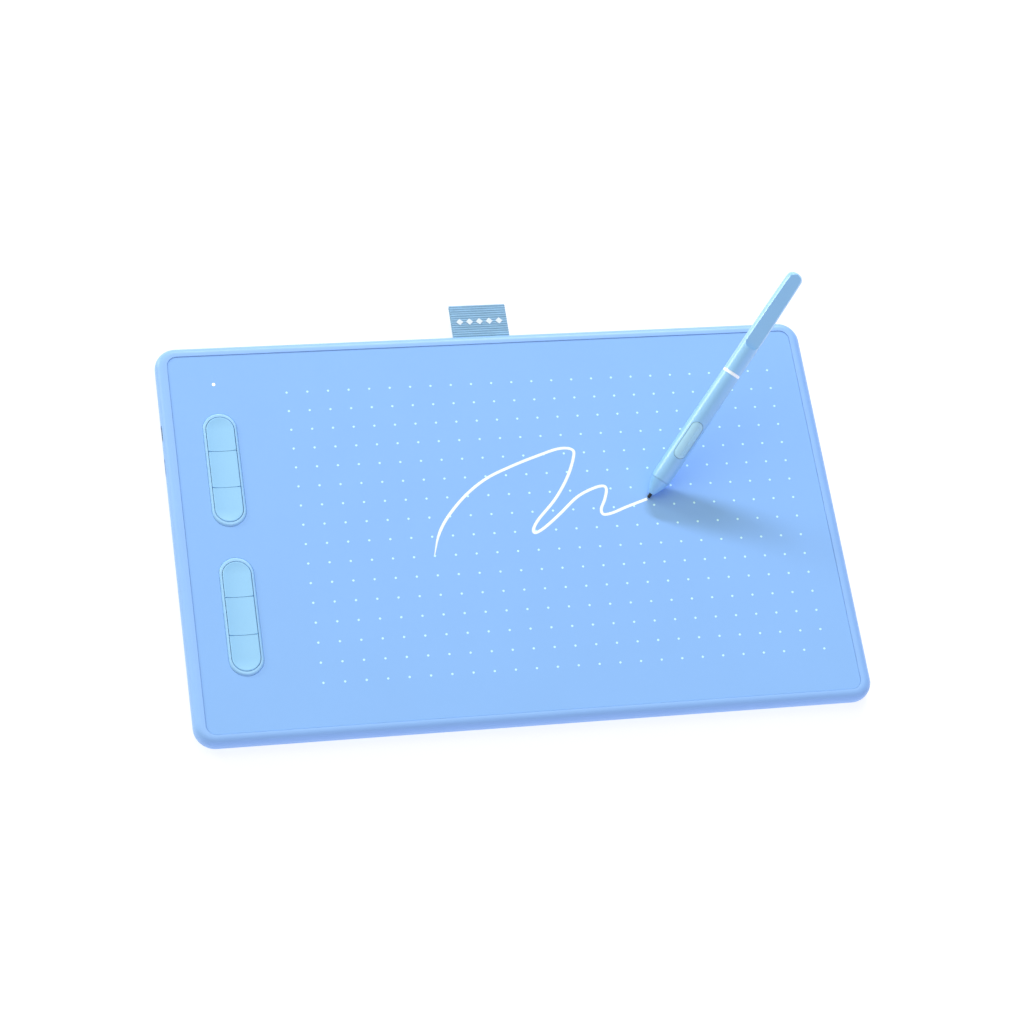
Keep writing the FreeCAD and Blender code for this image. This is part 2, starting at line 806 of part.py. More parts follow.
def make_key_switches():
    """Six tactile switches on the main board, each with a well for its plunger."""
    members = []
    number = 0
    for _, alias in KEY_GROUPS:
        for row in KEY_ROWS:
            number += 1
            centre = getattr(D, alias) + D.key_pitch * row
            place = (D.key_column, centre, board_top)
            side = (D.switch_side, D.switch_side, D.switch_height)
            housing = block("switch_housing_%d" % number, side, place)
            well_diameter = D.plunger_diameter + D.plunger_clearance * 2
            well = rod("switch_well_%d" % number, well_diameter, D.switch_height, *place)
            members.append(difference("switch_%d" % number, housing, well))
    return keep(group("key_switches", members))


# ---------------------------------------------------------------- electronics


def make_main_board():
    """The circuit board under the keys, inlet and power slide."""
    size = (D.board_breadth, D.board_length, D.board_thickness)
    return keep(block("main_board", size, (D.board_x, D.board_y, D.board_level)))


def make_board_chips():
    """The controller, radio can, charger, battery socket and ribbon socket on the main board."""
    chips = (
        ("controller", (9, 9, 1.0), (-128, 60)),
        ("radio_can", (12, 16, 1.8), (-126, -68)),
        ("charger", (4, 4, 0.8), (-150, 72)),
        ("crystal", (3.2, 2.5, 0.8), (-128, 48)),
        ("battery_socket", (4.5, 8, 1.8), (-123, -34)),
        ("ribbon_socket", (3.5, 24, 1.2), (-122, 5)),
    )
    members = [block(name, size, (x, y, board_top)) for name, size, (x, y) in chips]
    return keep(group("board_chips", members))


def make_usb_inlet():
    """The USB-C inlet: a flattened shell with its tongue inside."""
    mouth_x = -D.case_length / 2 + D.port_inset
    back_wall = 1.0
    shell = new_body("usb_shell", x=mouth_x, y=D.port_y, z=port_level)
    outline = new_sketch(shell, "YZ_Plane")
    draw_round_rectangle(outline, D.port_width, D.port_height, D.port_height / 2 - 0.1)
    extrude(shell, outline, D.port_depth)
    mouth = new_sketch(shell, "YZ_Plane")
    inner_height = D.port_height - D.port_wall * 2
    draw_round_rectangle(mouth, D.port_width - D.port_wall * 2, inner_height, inner_height / 2 - 0.1)
    cut(shell, mouth, D.port_depth - back_wall, reverse=True)
    keep(shell)
    tongue_x = mouth_x + D.port_depth - back_wall - D.tongue_length / 2
    size = (D.tongue_length, D.port_width - 2.3, D.tongue_thickness)
    keep(block("usb_tongue", size, (tongue_x, D.port_y, port_level - D.tongue_thickness / 2)))


def make_power_slide():
    """The power switch: its housing on the board and the knob that slides in the wall's slot."""
    wall_x = -D.case_length / 2
    housing_place = (wall_x + 4.9, D.power_y, board_top)
    housing = block("power_housing", (D.power_housing_depth, 9.0, 2.6), housing_place)
    track_size = (D.power_housing_depth / 2, D.knob_length + 2.3, 1.2)
    track_place = (wall_x + 3.9, D.power_y + 0.7, port_level - 0.6)
    track = block("power_track", track_size, track_place)
    keep(difference("power_switch_body", housing, track))
    knob_x = wall_x + 0.3
    knob = new_body("power_switch_knob", x=knob_x, y=D.power_y + D.knob_offset, z=port_level)
    stem = new_sketch(knob, "YZ_Plane")
    draw_round_rectangle(stem, D.knob_length - 1.2, as_size(0.9), as_size(0.2))
    extrude(knob, stem, 4.2)
    cap = new_sketch(knob, "YZ_Plane")
    draw_round_rectangle(cap, D.knob_length, D.power_slot_height - 0.6, as_size(0.5))
    extrude(knob, cap, 1.8)
    keep(knob)


def make_status_light():
    """A light on the board and the clear pipe that carries it up to the sheet."""
    keep(block("status_led", (2.0, 1.2, 0.7), (D.led_x, D.led_y, board_top)))
    pipe_level = board_top + 0.8
    length = D.sheet_level + 0.05 - pipe_level
    keep(rod("light_pipe", D.led_pipe_diameter, length, D.led_x, D.led_y, pipe_level))


def make_sensor_stack():
    """The sensing board under the deck, its shield plate and the foam that backs them."""
    sensor_size = (D.sensor_length, D.sensor_width, D.sensor_thickness)
    keep(block("sensor_board", sensor_size, (D.sensor_x, 0, sensor_level)))
    shield_size = (D.shield_length, D.sensor_width, D.shield_thickness)
    keep(block("shield_plate", shield_size, (D.shield_x, 0, shield_level)))
    strips = []
    for number in range(FOAM_STRIPS):
        size = (D.foam_width, D.foam_length, shield_level - floor_top)
        place = (D.foam_pitch * number + D.foam_x, 0, floor_top)
        strips.append(block("foam_strip_%d" % (number + 1), size, place))
    keep(group("support_foam", strips))


def make_ribbon_cable():
    """The flat flexible cable that steps up from the main board to the sensing board."""
    body = new_body("ribbon_cable", y=D.cable_y)
    outline = new_sketch(body, "XZ_Plane")
    low = board_top + 1.3
    high = sensor_level - 0.3
    flat = D.cable_flat
    end = D.cable_start + flat * 2 + D.cable_slope
    corners = (
        (D.cable_start, low),
        (D.cable_start + flat, low),
        (end - flat, high),
        (end, high),
        (end, high + D.cable_thickness),
        (end - flat, high + D.cable_thickness),
        (D.cable_start + flat, low + D.cable_thickness),
        (D.cable_start, low + D.cable_thickness),
    )
    draw_polygon(outline, corners)
    extrude(body, outline, D.cable_width, symmetric=True)
    return keep(body)


def make_battery():
    """The flat battery and its two leads."""
    size = (D.battery_width, D.battery_length, D.battery_thickness)
    keep(block("battery", size, (D.battery_x, 0, floor_top)))
    start = D.board_x + D.board_breadth / 2 + 0.2
    length = D.battery_x - D.battery_width / 2 - start
    along_x = FreeCAD.Rotation(FreeCAD.Vector(0, 1, 0), 90)
    leads = []
    for number, side in enumerate((-1, 1), start=1):
        place = (start, D.lead_y + D.lead_pitch / 2 * side, board_top + 0.2)
        leads.append(rod("battery_lead_%d" % number, D.lead_diameter, length, *place, rotation=along_x))
    keep(group("battery_leads", leads))


# ---------------------------------------------------------------- pen loop


def make_pen_loop():
    """A woven ribbon folded back on itself, open at its sides for the pen, round a steel bar."""
    body = new_body("pen_loop", z=D.ribbon_level)
    outer_radius = D.ribbon_gap / 2 + D.ribbon_thickness
    inner_radius = D.ribbon_gap / 2
    fold_y = D.ribbon_reach - outer_radius
    outline = new_sketch(body, "YZ_Plane")
    half_turn = math.pi / 2
    arcs = []
    for radius in (outer_radius, inner_radius):
        circle = Part.Circle(FreeCAD.Vector(fold_y.number, 0, 0), UP, radius.number)
        arc = outline.addGeometry(Part.ArcOfCircle(circle, -half_turn, half_turn))
        index = outline.addConstraint(Sketcher.Constraint("Radius", arc, radius.number))
        bind(outline, "Constraints[%d]" % index, radius)
        pin(outline, (arc, 3), fold_y, 0)
        arcs.append(arc)
    for side, end in ((-1, 1), (1, 2)):
        runs = []
        for arc, radius in zip(arcs, (outer_radius, inner_radius)):
            root = FreeCAD.Vector(D.ribbon_root.number, side * radius.number, 0)
            run = outline.addGeometry(Part.LineSegment(root, outline.getPoint(arc, end)))
            outline.addConstraint(Sketcher.Constraint("Tangent", run, 2, arc, end))
            outline.addConstraint(Sketcher.Constraint("Horizontal", run))
            runs.append(run)
        ends = (outline.getPoint(runs[0], 1), outline.getPoint(runs[1], 1))
        root_edge = outline.addGeometry(Part.LineSegment(*ends))
        outline.addConstraint(Sketcher.Constraint("Coincident", root_edge, 1, runs[0], 1))
        outline.addConstraint(Sketcher.Constraint("Coincident", root_edge, 2, runs[1], 1))
        outline.addConstraint(Sketcher.Constraint("Vertical", root_edge))
        hold(outline, "DistanceX", (-1, 1), (root_edge, 1), D.ribbon_root)
    extrude(body, outline, D.ribbon_width, symmetric=True)
    keep(body)
    along_x = FreeCAD.Rotation(FreeCAD.Vector(0, 1, 0), 90)
    start = (-D.anchor_length / 2, D.anchor_y, D.ribbon_level)
    keep(rod("loop_anchor_bar", D.anchor_diameter, D.anchor_length, *start, rotation=along_x))


# ---------------------------------------------------------------- pen
# Each pen piece is drawn along its own Z axis, with the tip at z = 0 and the flat and rocker
# facing its own +X, and is then leaned over the sheet.


def pen_rotation():
    """The turn that leans the pen's own Z axis along its heading and elevation."""
    across = FreeCAD.Rotation(FreeCAD.Vector(0, 1, 0), 90 - D.pen_elevation.number)
    heading = FreeCAD.Rotation(UP, D.pen_heading.number)
    roll = FreeCAD.Rotation(UP, D.pen_roll.number)
    return heading * across * roll


def lean(item):
    """Lean a pen piece over the sheet."""
    item.Placement = FreeCAD.Placement(FreeCAD.Vector(), pen_rotation())
    bind_position(item, D.pen_tip_x, D.pen_tip_y, D.pen_tip_level)
    document.recompute()
    return keep(item)


def turned_body(label, profile, bows=None):
    """Start a pen body turned from a profile of (radius, station) corners."""
    body = new_body(label)
    outline = new_sketch(body, "XZ_Plane")
    draw_polygon(outline, profile, bows)
    revolve(body, outline)
    return body


def tube_profile(outer, inner, start, end):
    """The profile of a plain tube from its diameters."""
    return (
        (inner / 2, start),
        (outer / 2, start),
        (outer / 2, end),
        (inner / 2, end),
    )


def make_nib():
    """The black nib and the holder that carries it back to the force sensor."""
    radius = D.nib_diameter / 2
    nib = turned_body("pen_nib", ((0, 0), (radius, 0), (radius, D.nib_length), (0, D.nib_length)))
    dress(nib, "Fillet", "Radius", D.nib_tip_round, at_level(as_size(0)))
    lean(nib)
    holder_radius = D.holder_diameter / 2
    socket_radius = radius + 0.02
    socket_end = D.nib_length + 0.1
    holder_profile = (
        (socket_radius, D.holder_start),
        (holder_radius, D.holder_start),
        (holder_radius, D.holder_end),
        (0, D.holder_end),
        (0, socket_end),
        (socket_radius, socket_end),
    )
    lean(turned_body("nib_holder", holder_profile))


def make_cone():
    """The tapered front end, slightly bellied, with a spigot into the grip."""
    spigot_end = D.cone_end + D.spigot_length
    spigot_outer = D.grip_bore / 2 - 0.05
    spigot_inner = spigot_outer - 0.35
    profile = (
        (D.cone_bore / 2, D.cone_start),
        (D.cone_tip_diameter / 2, D.cone_start),
        (D.cone_end_diameter / 2, D.cone_end),
        (spigot_outer, D.cone_end),
        (spigot_outer, spigot_end),
        (spigot_inner, spigot_end),
        (spigot_inner, D.cone_end - 0.5),
        (D.cone_bore / 2, D.cone_start + 6),
    )
    lean(turned_body("pen_cone", profile, {1: D.cone_bow}))


def draw_rocker(body, clearance, depth):
    """Draw the rocker's round-ended outline, seen square on, grown by a clearance."""
    middle = (D.rocker_start + D.rocker_end) / 2
    outline = new_sketch(body, "YZ_Plane", y=middle, z=depth)
    length = D.rocker_end - D.rocker_start + clearance * 2
    draw_round_rectangle(outline, D.rocker_width + clearance * 2, length, D.rocker_corner + clearance)
    return outline


def make_grip():
    """The front barrel, widest just behind the cone, with the opening for the rocker."""
    profile = (
        (D.grip_bore / 2, D.grip_start),
        (D.cone_end_diameter / 2, D.grip_start),
        (D.grip_widest_diameter / 2, D.grip_widest),
        (D.grip_end_diameter / 2, D.grip_end),
        (D.grip_bore / 2, D.grip_end),
    )
    grip = turned_body("pen_grip_barrel", profile, {1: D.grip_front_bow, 2: D.grip_bow})
    cut(grip, draw_rocker(grip, D.rocker_gap, 0), D.grip_widest_diameter, reverse=True)
    lean(grip)


# Where the rocker's finger grooves run, in degrees round the pen from its flat side.
ROCKER_GROOVE_ANGLES = (7, 18, 29)


def make_rocker():
    """The two-way side button: its top follows the barrel's round, a little proud of it."""
    rocker = new_body("pen_rocker")
    extrude(rocker, draw_rocker(rocker, as_size(0), D.rocker_base), D.rocker_rise - D.rocker_base + 0.2)
    waste = new_sketch(rocker, "XZ_Plane")
    beyond = D.rocker_rise + 2
    corners = (
        (D.rocker_rise, D.rocker_start - 1),
        (beyond, D.rocker_start - 1),
        (beyond, D.rocker_end + 1),
        (D.rocker_rise - D.rocker_slope, D.rocker_end + 1),
    )
    draw_polygon(waste, corners)
    before = rocker.Shape.Volume
    groove = rocker.newObject("PartDesign::Groove", "rocker_top")
    groove.Profile = waste
    groove.ReferenceAxis = (waste, ["V_Axis"])
    groove.Angle = 360
    document.recompute()
    if rocker.Shape.Volume >= before:
        raise RuntimeError("the rocker's top is not rounded")
    grip_lines = new_sketch(rocker, z=D.rocker_ridge_start)
    places = []
    for angle in ROCKER_GROOVE_ANGLES:
        turn = math.radians(angle)
        places.append((D.rocker_rise * math.cos(turn), D.rocker_rise * math.sin(turn)))
    draw_circles(grip_lines, D.rocker_ridge_groove, places)
    cut(rocker, grip_lines, D.rocker_ridge_end - D.rocker_ridge_start, reverse=True)
    lean(rocker)


def make_barrel_ring():
    """The pale ring between the two barrels, with a spigot into each."""
    inner = D.ring_bore / 2
    spigot = D.grip_bore / 2 - 0.05
    outer = D.ring_diameter / 2
    start = D.grip_end + 0.05
    profile = (
        (inner, start - D.ring_spigot),
        (spigot, start - D.ring_spigot),
        (spigot, start),
        (outer, start),
        (outer, D.ring_end),
        (spigot, D.ring_end),
        (spigot, D.ring_end + D.ring_spigot),
        (inner, D.ring_end + D.ring_spigot),
    )
    lean(turned_body("pen_ring", profile))


def make_rear_barrel():
    """The rear barrel: it tapers to a round tail and has a long flat on one side."""
    socket_end = D.ring_end + D.ring_spigot + 0.5
    tail_shoulder = D.rear_end - D.rear_tail_diameter / 2
    profile = (
        (D.grip_bore / 2, D.rear_start),
        (D.grip_end_diameter / 2 - 0.05, D.rear_start),
        (D.rear_tail_diameter / 2, tail_shoulder),
        (D.rear_tail_diameter / 2 - 0.1, D.rear_end),
        (0, D.rear_end),
        (0, D.rear_bore_end),
        (D.rear_bore / 2, D.rear_bore_end),
        (D.rear_bore / 2, socket_end),
        (D.grip_bore / 2, socket_end),
    )
    rear = turned_body("pen_rear_barrel", profile, {1: D.rear_bow})
    dress(rear, "Fillet", "Radius", D.tail_round, at_level(D.rear_end))
    flat_end = D.rear_end + D.flat_width
    flat = new_sketch(rear, "YZ_Plane", y=(D.flat_start + flat_end) / 2, z=D.flat_distance)
    draw_round_rectangle(flat, D.flat_width, flat_end - D.flat_start, D.flat_corner)
    cut(rear, flat, D.grip_end_diameter, reverse=True)
    lean(rear)


def make_chassis():
    """The open trough that carries the pen's circuit board behind the coil."""
    outer = D.grip_bore - 0.3
    tube = tube_profile(outer, D.chassis_bore, D.chassis_start, D.chassis_end)
    chassis = turned_body("pen_chassis", tube)
    middle = (D.chassis_start + D.chassis_end) / 2
    open_side = new_sketch(chassis, "YZ_Plane", y=middle, z=D.pen_board_level)
    draw_round_rectangle(open_side, D.grip_bore + 1, D.chassis_end - D.chassis_start + 2, as_size(0.2))
    cut(chassis, open_side, D.grip_bore, reverse=True)
    lean(chassis)


def make_pen_board():
    """The pen's circuit board, lying on the chassis's two edges."""
    board = new_body("pen_board")
    middle = (D.pen_board_start + D.pen_board_end) / 2
    outline = new_sketch(board, "YZ_Plane", y=middle, z=D.pen_board_level)
    length = D.pen_board_end - D.pen_board_start
    draw_round_rectangle(outline, D.pen_board_width, length, as_size(0.3))
    extrude(board, outline, D.pen_board_thickness)
    lean(board)


def make_pen_switches():
    """A switch under each end of the rocker and the fulcrum between them."""
    level = D.pen_board_level + D.pen_board_thickness
    members = []
    for name, station in (
        ("front", D.rocker_start + D.pen_switch_inset),
        ("back", D.rocker_end - D.pen_switch_inset),
    ):
        size = (D.pen_switch_height, D.pen_switch_side, D.pen_switch_side)
        place = (level + D.pen_switch_height / 2, 0, station - D.pen_switch_side / 2)
        members.append(block("pen_switch_" + name, size, place))
    across = FreeCAD.Rotation(FreeCAD.Vector(1, 0, 0), 90)
    middle = (D.rocker_start + D.rocker_end) / 2
    half = D.pen_switch_side / 2
    radius = D.fulcrum_diameter / 2
    members.append(rod("pen_fulcrum", D.fulcrum_diameter, half * 2, level + radius, half, middle, across))
    lean(group("pen_switches", members))


def make_pen_electronics():
    """The coil on its ferrite core round the nib, and the force sensor behind the nib."""
    core = tube_profile(D.ferrite_diameter, D.ferrite_bore, D.ferrite_start, D.ferrite_end)
    lean(turned_body("pen_ferrite", core))
    coil_start = D.ferrite_start + D.coil_inset
    coil_end = D.ferrite_end - D.coil_inset
    winding = tube_profile(D.coil_diameter, D.ferrite_diameter, coil_start, coil_end)
    lean(turned_body("pen_coil", winding))
    radius = D.force_diameter / 2
    can = ((0, D.force_start), (radius, D.force_start), (radius, D.force_end), (0, D.force_end))
    lean(turned_body("pen_force_sensor", can))


# ---------------------------------------------------------------- checks and files


def check_and_export():
    """Stop on any failed object, then write each sub-part to its own file."""
    document.recompute()
    for item in document.Objects:
        for state in ("Invalid", "Error"):
            if state in item.State:
                raise RuntimeError("%s is %s" % (item.Name, state))
    os.makedirs("parts", exist_ok=True)
    for part in parts:
        shape = part.Shape
        if shape.isNull() or not shape.isValid():
            raise RuntimeError("%s has no valid shape" % part.Label)
        shape.exportStep("parts/%s.step" % part.Label)
        box = shape.BoundBox
        print("%-20s %8.2f mm3 %s" % (part.Label, shape.Volume, box))


make_bottom_cover()
make_top_cover()
make_surface_sheet()
make_case_screws()
make_feet()
make_key_bezels()
make_keys()
make_key_switches()
make_main_board()
make_board_chips()
make_usb_inlet()
make_power_slide()
make_status_light()
make_sensor_stack()
make_ribbon_cable()
make_battery()
make_pen_loop()
make_nib()
make_cone()
make_grip()
make_rocker()
make_barrel_ring()
make_rear_barrel()
make_chassis()
make_pen_board()
make_pen_switches()
make_pen_electronics()
check_and_export()
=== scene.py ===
import json
import math

import bmesh
import bpy
from mathutils import Matrix, Vector


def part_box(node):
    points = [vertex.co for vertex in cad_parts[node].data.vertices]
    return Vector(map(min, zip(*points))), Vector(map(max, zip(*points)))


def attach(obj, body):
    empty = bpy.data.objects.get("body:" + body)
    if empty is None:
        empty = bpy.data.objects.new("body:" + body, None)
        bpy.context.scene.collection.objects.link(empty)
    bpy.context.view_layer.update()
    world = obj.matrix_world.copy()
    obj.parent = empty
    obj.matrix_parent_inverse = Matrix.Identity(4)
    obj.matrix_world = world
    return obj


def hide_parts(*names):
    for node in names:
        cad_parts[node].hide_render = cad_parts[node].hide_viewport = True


# A pen drawing tablet in pale blue plastic. The frame's origin is on the desk under the middle
# of the case, +X to the case's right, +Y to its back and +Z up. All lengths are in metres.

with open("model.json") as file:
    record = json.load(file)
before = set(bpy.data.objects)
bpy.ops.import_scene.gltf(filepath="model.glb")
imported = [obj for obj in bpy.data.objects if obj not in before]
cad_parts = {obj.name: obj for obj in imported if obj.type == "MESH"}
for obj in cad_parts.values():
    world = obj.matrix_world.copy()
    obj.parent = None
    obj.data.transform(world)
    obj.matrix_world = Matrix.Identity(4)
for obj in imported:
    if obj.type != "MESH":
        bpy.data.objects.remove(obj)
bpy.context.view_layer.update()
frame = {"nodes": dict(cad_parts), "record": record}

MM = 0.001
sheet_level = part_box("surface_sheet")[1][2]

# The printed grid of dots on the sheet.
DOT_PITCH = 254 * MM / 24
DOT_COLUMNS = 25
DOT_ROWS = 16
DOT_GRID_X = 21.5 * MM
DOT_GRID_Y = -0.5 * MM
DOT_DIAMETER = 1.15 * MM
DOT_SIDES = 14
INK_THICKNESS = 0.03 * MM


# ---------------------------------------------------------------- camera, lights and floor

CAMERA_TARGET = Vector((0.0004, 0.0053, 0.00925))
CAMERA_DISTANCE = 1.4507
CAMERA_HEADING = math.radians(27.89)
CAMERA_ELEVATION = math.radians(62.016)
CAMERA_ROLL = math.radians(-21.809)
CAMERA_LENS_MM = 101.56
CAMERA_SENSOR_MM = 36
CAMERA_CLIP_START = 0.05


def heading_vector(heading, elevation):
    """The unit vector that looks along a heading, measured from +Y towards +X, and down an elevation."""
    flat = math.cos(elevation)
    return Vector((flat * math.sin(heading), flat * math.cos(heading), -math.sin(elevation)))


def aim(target, forward, distance, roll):
    """The place and turn of a camera or light that looks at a target, rolled about its line of sight."""
    level = forward.to_track_quat("-Z", "Y").to_matrix()
    turn = Matrix.Rotation(roll, 3, forward)
    return Matrix.Translation(target - forward * distance) @ (turn @ level).to_4x4()


def add_camera():
    """Place the camera in front of the tablet, high up and rolled."""
    data = bpy.data.cameras.new("camera")
    data.lens = CAMERA_LENS_MM
    data.sensor_width = CAMERA_SENSOR_MM
    data.clip_start = CAMERA_CLIP_START
    camera = bpy.data.objects.new("camera", data)
    bpy.context.scene.collection.objects.link(camera)
    forward = heading_vector(CAMERA_HEADING, CAMERA_ELEVATION)
    camera.matrix_world = aim(CAMERA_TARGET, forward, CAMERA_DISTANCE, CAMERA_ROLL)
    bpy.context.scene.camera = camera


# Each light's name, heading, elevation and roll in degrees, distance, long and short side, power in
# watts and colour. The heading is the way the light travels, from +Y towards +X.
LIGHT_TARGET = Vector((0.05, 0.0, 0.0))
LIGHTS = (
    ("back_strip", -166.0, 33.5, 6.0, 3.2, 1.20, 0.16, 60.0, (0.61, 0.71, 1.0)),
    ("left_low", 129.0, 12.0, 0.0, 3.2, 0.60, 0.40, 28.0, (0.92, 1.0, 0.96)),
)

# The room's even light, and the broad glows added to it from the left, the front and high up. A glow
# has the direction that its light comes from, a power that narrows it, and a colour that holds its
# strength as well.
ROOM_LIGHT = (0.10, 0.10, 0.10)
GLOWS = (
    ((-0.90, 0.10, 0.42), 3.0, (0.36, 0.36, 0.42)),
    ((0.30, -0.94, 0.15), 3.0, (0.86, 0.95, 1.55)),
    ((-0.10, 0.45, 0.89), 6.0, (1.80, 1.88, 1.40)),
)

# A pale floor that is partly lit from inside, so that it stays white right up to the case.
FLOOR_REACH = 60.0
FLOOR_COLOR = (0.36, 0.355, 0.36)
FLOOR_ROUGHNESS = 0.9
FLOOR_GLOW = 0.76


def to_mesh(form, name):
    """Turn a finished form into a mesh of this name."""
    mesh = bpy.data.meshes.new(name)
    form.to_mesh(mesh)
    form.free()
    return mesh


def add_area_light(name, heading, elevation, roll, distance, long_side, short_side, power, color):
    """A rectangular light that shines on the sheet, its long side turned by a roll from level."""
    data = bpy.data.lights.new(name, "AREA")
    data.shape = "RECTANGLE"
    data.size = long_side
    data.size_y = short_side
    data.energy = power
    data.color = color
    light = bpy.data.objects.new(name, data)
    bpy.context.scene.collection.objects.link(light)
    forward = heading_vector(math.radians(heading), math.radians(elevation))
    light.matrix_world = aim(LIGHT_TARGET, forward, distance, math.radians(roll))


def add_glow(tree, direction, tightness, color):
    """A broad glow in the room, brightest towards its direction."""
    place = tree.nodes.new("ShaderNodeTexCoord")
    facing = tree.nodes.new("ShaderNodeVectorMath")
    facing.operation = "DOT_PRODUCT"
    facing.inputs[1].default_value = Vector(direction).normalized()
    tree.links.new(place.outputs["Generated"], facing.inputs[0])
    above = tree.nodes.new("ShaderNodeMath")
    above.operation = "MAXIMUM"
    above.inputs[1].default_value = 0.0
    tree.links.new(facing.outputs["Value"], above.inputs[0])
    narrow = tree.nodes.new("ShaderNodeMath")
    narrow.operation = "POWER"
    narrow.inputs[1].default_value = tightness
    tree.links.new(above.outputs[0], narrow.inputs[0])
    glow = tree.nodes.new("ShaderNodeBackground")
    glow.inputs["Color"].default_value = (*color, 1.0)
    tree.links.new(narrow.outputs[0], glow.inputs["Strength"])
    return glow.outputs["Background"]


def add_lights():
    """Two rectangular lights, one long and narrow and one low, and a pale uneven room."""
    for light in LIGHTS:
        add_area_light(*light)
    world = bpy.data.worlds.new("room")
    world.use_nodes = True
    tree = world.node_tree
    even = tree.nodes["Background"]
    even.inputs["Color"].default_value = (*ROOM_LIGHT, 1.0)
    even.inputs["Strength"].default_value = 1.0
    total = even.outputs["Background"]
    for direction, tightness, color in GLOWS:
        both = tree.nodes.new("ShaderNodeAddShader")
        tree.links.new(total, both.inputs[0])
        tree.links.new(add_glow(tree, direction, tightness, color), both.inputs[1])
        total = both.outputs["Shader"]
    tree.links.new(total, tree.nodes["World Output"].inputs["Surface"])
    bpy.context.scene.world = world


def add_floor():
    """A plain pale floor."""
    form = bmesh.new()
    bmesh.ops.create_grid(form, x_segments=1, y_segments=1, size=FLOOR_REACH)
    mesh = to_mesh(form, "floor")
    floor = bpy.data.objects.new("floor", mesh)
    bpy.context.scene.collection.objects.link(floor)
    material = bpy.data.materials.new("floor_white")
    material.use_nodes = True
    shader = material.node_tree.nodes["Principled BSDF"]
    shader.inputs["Base Color"].default_value = (*FLOOR_COLOR, 1.0)
    shader.inputs["Roughness"].default_value = FLOOR_ROUGHNESS
    shader.inputs["Emission Color"].default_value = (1.0, 1.0, 1.0, 1.0)
    shader.inputs["Emission Strength"].default_value = FLOOR_GLOW
    mesh.materials.append(material)


add_camera()
add_lights()
add_floor()
bpy.context.scene.view_settings.view_transform = "Standard"


# ---------------------------------------------------------------- material helpers

# Nearly all of a noise texture's values lie between these.
NOISE_LOW = 0.3
NOISE_HIGH = 0.7


class Shader:
    """One material's node tree with a Principled shader, and short ways to add to it."""

    def __init__(self, name, color, roughness, **sockets):
        self.material = bpy.data.materials.new(name)
        self.material.use_nodes = True
        self.tree = self.material.node_tree
        self.surface = self.tree.nodes["Principled BSDF"]
        self.color = color
        self.roughness = roughness
        self.surface.inputs["Base Color"].default_value = (*color, 1.0)
        self.surface.inputs["Roughness"].default_value = roughness
        for socket, value in sockets.items():
            self.surface.inputs[socket.replace("_", " ")].default_value = value
        self.place = self.tree.nodes.new("ShaderNodeTexCoord").outputs["Object"]
        self.normal = None

    def link(self, output, target):
        """Feed one socket into another."""
        self.tree.links.new(output, target)

    def noise(self, size, detail=3.0, stretch=(1, 1, 1)):
        """A noise whose features are about this size, stretched along the axes."""
        mapping = self.tree.nodes.new("ShaderNodeMapping")
        mapping.inputs["Scale"].default_value = stretch
        self.link(self.place, mapping.inputs["Vector"])
        texture = self.tree.nodes.new("ShaderNodeTexNoise")
        texture.inputs["Scale"].default_value = 1.0 / size
        texture.inputs["Detail"].default_value = detail
        self.link(mapping.outputs["Vector"], texture.inputs["Vector"])
        return texture.outputs["Fac"]

    def range(self, value, low, high):
        """Spread a noise's usual values over low to high."""
        node = self.tree.nodes.new("ShaderNodeMapRange")
        node.inputs["From Min"].default_value = NOISE_LOW
        node.inputs["From Max"].default_value = NOISE_HIGH
        node.inputs["To Min"].default_value = low
        node.inputs["To Max"].default_value = high
        self.link(value, node.inputs["Value"])
        return node.outputs["Result"]

    def vary_color(self, value, other):
        """Blend the base colour towards another where a noise is high."""
        mix = self.tree.nodes.new("ShaderNodeMix")
        mix.data_type = "RGBA"
        mix.inputs["A"].default_value = (*self.color, 1.0)
        mix.inputs["B"].default_value = (*other, 1.0)
        self.link(self.range(value, 0.0, 1.0), mix.inputs["Factor"])
        self.link(mix.outputs["Result"], self.surface.inputs["Base Color"])
        return self

    def vary_roughness(self, value, spread):
        """Let the roughness wander by a spread about its own value."""
        wander = self.range(value, self.roughness - spread, self.roughness + spread)
        self.link(wander, self.surface.inputs["Roughness"])
        return self

    def bump(self, value, height):
        """Add a bump of this height in metres over the ones before it."""
        node = self.tree.nodes.new("ShaderNodeBump")
        node.inputs["Strength"].default_value = 1.0
        node.inputs["Distance"].default_value = height
        self.link(value, node.inputs["Height"])
        if self.normal is not None:
            self.link(self.normal, node.inputs["Normal"])
        self.normal = node.outputs["Normal"]
        self.link(self.normal, self.surface.inputs["Normal"])
        return self


def tint(color, factor):
    """Scale a colour, kept under 1."""
    return tuple(min(1.0, channel * factor) for channel in color)


def moulded_plastic(name, color, roughness=0.42, grain=0.32 * MM, grain_height=0.006 * MM, **sockets):
    """Injection-moulded plastic: a fine spark-eroded grain, faint mottling and slightly uneven gloss."""
    shader = Shader(name, color, roughness, **sockets)
    shader.vary_color(shader.noise(18 * MM), tint(color, 0.975))
    shader.vary_roughness(shader.noise(4 * MM), 0.04)
    shader.bump(shader.noise(grain, 2.0), grain_height)
    return shader.material


# ---------------------------------------------------------------- materials

